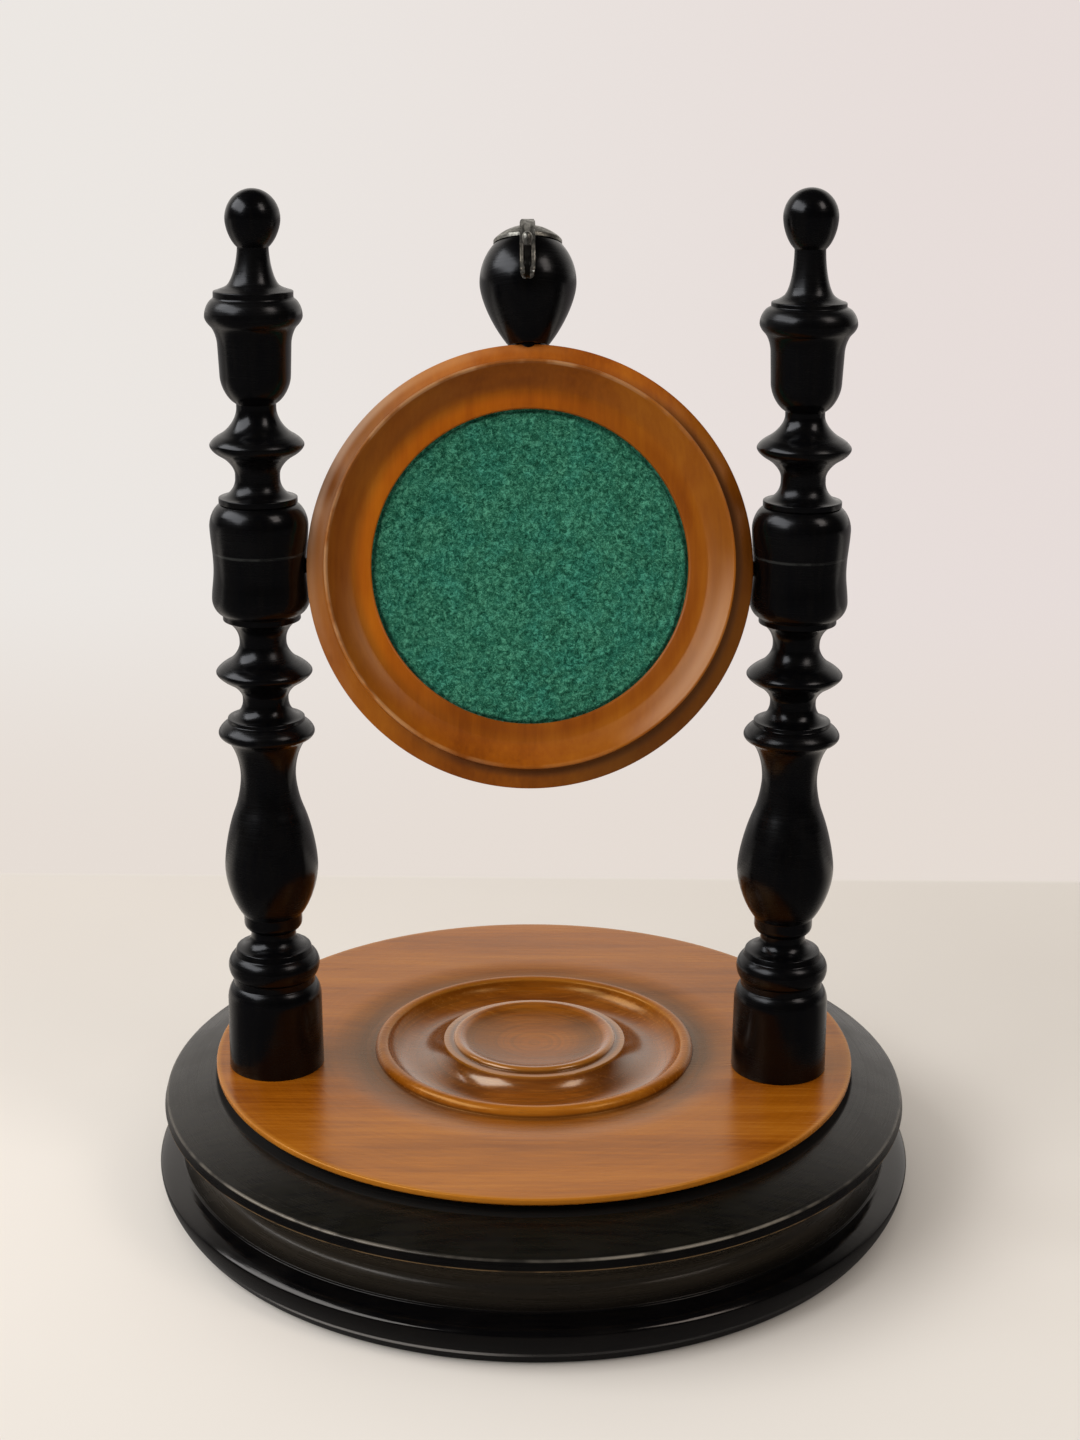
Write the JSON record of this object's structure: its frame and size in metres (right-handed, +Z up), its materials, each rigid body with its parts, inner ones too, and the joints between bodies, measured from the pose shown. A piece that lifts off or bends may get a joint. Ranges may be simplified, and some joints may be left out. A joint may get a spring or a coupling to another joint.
{
  "type": "pocket watch stand",
  "caption": "Turned wooden pocket watch stand: round moulded base, slender ebonised posts and a tilting felt-lined ring holder with a finial and watch hook.",
  "frame": {"origin": "centre of the round base, on the surface that it stands on", "axes": "+Z up, +X to the right and +Y away from a person facing the watch; the holder tilts about an axis along X"},
  "size_m": [0.14, 0.14, 0.182],
  "materials": {
    "ebonised_wood": "satin",
    "polished_wood": "polished",
    "plain_wood": "matte",
    "green_felt": "felt",
    "base_cloth": "baize",
    "white_metal": "worn",
    "pin_steel": "dark"
  },
  "bodies": {
    "stand": {"base_plinth": "ebonised_wood", "base_baize": "base_cloth", "base_top": "polished_wood", "left_post": "ebonised_wood", "right_post": "ebonised_wood", "left_pivot_pin": "pin_steel", "right_pivot_pin": "pin_steel"},
    "holder": {"holder_ring": "polished_wood", "holder_back": "plain_wood", "felt_pad": "green_felt", "holder_finial": "ebonised_wood", "hook_rose": "white_metal", "watch_hook": "white_metal"}
  },
  "joints": [
    {"name": "holder_tilt", "type": "hinge", "parent": "stand", "child": "holder", "pos_m": [-0.0012, -0.00865, 0.1183], "axis": [1, 0, 0], "continuous": true}
  ]
}
